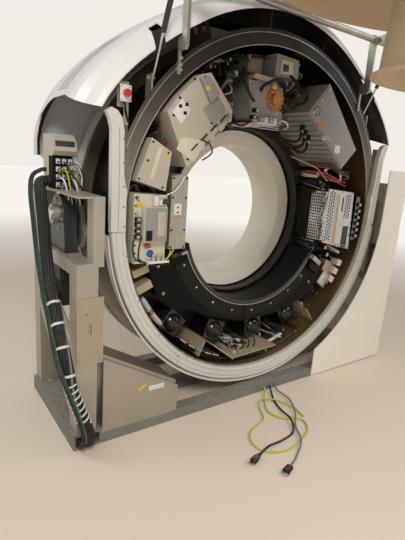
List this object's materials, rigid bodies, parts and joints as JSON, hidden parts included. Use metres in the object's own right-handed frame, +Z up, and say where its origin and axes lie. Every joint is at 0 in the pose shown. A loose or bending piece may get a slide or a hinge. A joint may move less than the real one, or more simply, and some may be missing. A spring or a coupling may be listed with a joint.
{
  "type": "ct scanner",
  "caption": "Tilting ring scanner on two stands, with its front cover hinged up on gas struts and the turning ring of tube, tank, cooler and arc detector open to view.",
  "frame": {"origin": "floor level, centre of the four anchor bolt holes, straight below the tilt axis", "axes": "+X to the right seen from the front, +Y to the back, +Z up"},
  "size_m": [2.2545, 2.4007, 2.2585],
  "materials": {
    "base_steel": "satin",
    "stand_steel": "satin",
    "zinc": "satin",
    "stainless": "brushed",
    "bearing_black": "satin",
    "gearbox_paint": "satin",
    "post_paint": "satin",
    "relay_black": "matte",
    "hood_paint": "satin",
    "cable_black": "satin",
    "cover_cream": "satin",
    "cord_yellow": "satin",
    "cord_black": "satin",
    "plug_black": "satin",
    "cord_grey": "satin",
    "connector_black": "matte",
    "frame_paint": "satin",
    "race_steel": "polished",
    "drum_gold": "satin",
    "ring_paint": "satin",
    "seal_white": "satin",
    "lip_white": "satin",
    "dome_white": "satin",
    "liner_cream": "satin",
    "brush_grey": "matte",
    "button_red": "gloss",
    "rotor_paint": "satin",
    "slip_copper": "polished",
    "tube_grey": "satin",
    "tube_copper": "polished",
    "collimator_white": "satin",
    "tank_grey": "satin",
    "box_beige": "satin",
    "filter_grey": "satin",
    "chassis_cream": "satin",
    "console_grey": "satin",
    "cooler_grey": "satin",
    "panel_silver": "satin",
    "detector_black": "gloss",
    "blower_black": "gloss",
    "bracket_tan": "satin",
    "loom_silver": "satin",
    "cover_tan": "satin",
    "strut_black": "gloss",
    "rod_chrome": "polished"
  },
  "bodies": {
    "stand": {"base_left": "base_steel", "base_right": "base_steel", "base_beams": "base_steel", "levelling_jacks": "zinc", "stand_left": "stand_steel", "stand_right": "stand_steel", "bearing_blocks": "bearing_black", "tilt_gearbox": "gearbox_paint", "post_cover": "post_paint", "side_box": "stainless", "terminal_block": "relay_black", "terminal_hood": "hood_paint", "cable_bundle": "cable_black", "side_cover": "cover_cream", "earth_wire": "cord_yellow", "power_lead": "cord_black", "lead_plug": "plug_black", "signal_cable": "cord_grey", "signal_plug": "connector_black"},
    "gantry": {"main_frame": "frame_paint", "trunnions": "zinc", "bearing_outer": "race_steel", "drum_shroud": "drum_gold", "front_ring": "ring_paint", "seal_arc": "seal_white", "seal_sides": "seal_white", "trim_lip": "lip_white", "belly_pan": "drum_gold", "dome": "dome_white", "rear_cover": "dome_white", "bore_liner": "liner_cream", "hinge_brackets": "zinc", "brush_block": "brush_grey", "switch_bracket": "zinc"},
    "stop_button": {"stop_button": "button_red"},
    "tilt_pinion": {"tilt_pinion": "race_steel"},
    "rotor": {"rotor_plate": "rotor_paint", "bearing_inner": "race_steel", "slip_ring": "slip_copper", "tube_unit": "tube_grey", "tube_disc": "tube_copper", "collimator": "collimator_white", "high_voltage_tank": "tank_grey", "power_box": "box_beige", "filter_box": "filter_grey", "side_module": "stainless", "control_chassis": "chassis_cream", "console_box": "console_grey", "cooler": "cooler_grey", "cooler_panel": "panel_silver", "detector": "detector_black", "blowers": "blower_black", "rotor_brackets": "bracket_tan", "looms": "loom_silver"},
    "front_cover": {"front_cover": "cover_tan", "cover_arms": "zinc"},
    "struts": {"rod_left": "rod_chrome", "rod_right": "rod_chrome"},
    "strut_rods": {"strut_left": "strut_black", "strut_right": "strut_black"}
  },
  "joints": [
    {"name": "gantry_tilt", "type": "hinge", "parent": "stand", "child": "gantry", "pos_m": [0, 0, 0.954], "axis": [1, 0, 0], "range_deg": [-30, 30]},
    {"name": "rotor_spin", "type": "hinge", "parent": "gantry", "child": "rotor", "pos_m": [0, 0, 0.954], "axis": [0, 1, 0], "continuous": true},
    {"name": "front_cover_hinge", "type": "hinge", "parent": "gantry", "child": "front_cover", "pos_m": [0, -0.276, 1.9], "axis": [1, 0, 0], "range_deg": [0, 86]},
    {"name": "strut_swing", "type": "hinge", "parent": "gantry", "child": "struts", "pos_m": [0, -0.2, 1.518], "axis": [1, 0, 0], "range_deg": [-9, 1]},
    {"name": "rod_slide", "type": "slide", "parent": "struts", "child": "strut_rods", "axis": [0, -0.408, 0.913], "range_m": [-0.13, 0.001]},
    {"name": "stop_button_press", "type": "slide", "parent": "gantry", "child": "stop_button", "axis": [0, 1, 0], "range_m": [0, 0.004], "stiffness_N_per_m": 1500},
    {"name": "tilt_pinion_spin", "type": "hinge", "parent": "stand", "child": "tilt_pinion", "pos_m": [0, 0, 0.759], "axis": [1, 0, 0], "range_deg": [-101, 101]}
  ],
  "couplings": [
    {"joint": "strut_swing", "follows": "front_cover_hinge", "ratio": -0.090311},
    {"joint": "rod_slide", "follows": "front_cover_hinge", "m_per_rad": -0.080518},
    {"joint": "tilt_pinion_spin", "follows": "gantry_tilt", "ratio": -3.3333}
  ]
}
